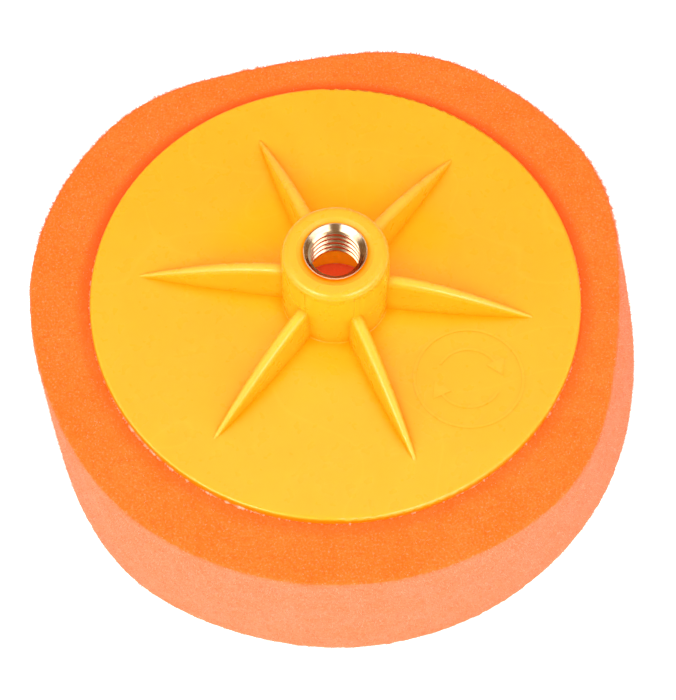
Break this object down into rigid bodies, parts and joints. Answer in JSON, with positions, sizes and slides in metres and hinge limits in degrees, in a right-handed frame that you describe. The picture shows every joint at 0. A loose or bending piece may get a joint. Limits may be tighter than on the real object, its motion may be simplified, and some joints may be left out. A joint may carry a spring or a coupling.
{
  "type": "polishing pad",
  "caption": "Thick round foam polishing pad bonded to a ribbed plastic backing plate, with a hollow centre hub and a threaded brass insert for a rotary machine's spindle.",
  "frame": {"origin": "on the spindle axis at the flat polishing face", "axes": "+Z along the spindle axis, from the polishing face out of the hub's mouth, and square to X and Y, which have no marked direction on the object"},
  "size_m": [0.1546, 0.1561, 0.0718],
  "materials": {
    "foam": "matte",
    "adhesive": "matte",
    "plate": "satin",
    "insert": "polished"
  },
  "bodies": {
    "root": {"foam_pad": "foam", "adhesive_layer": "adhesive", "backing_plate": "plate", "threaded_insert": "insert"}
  },
  "joints": []
}
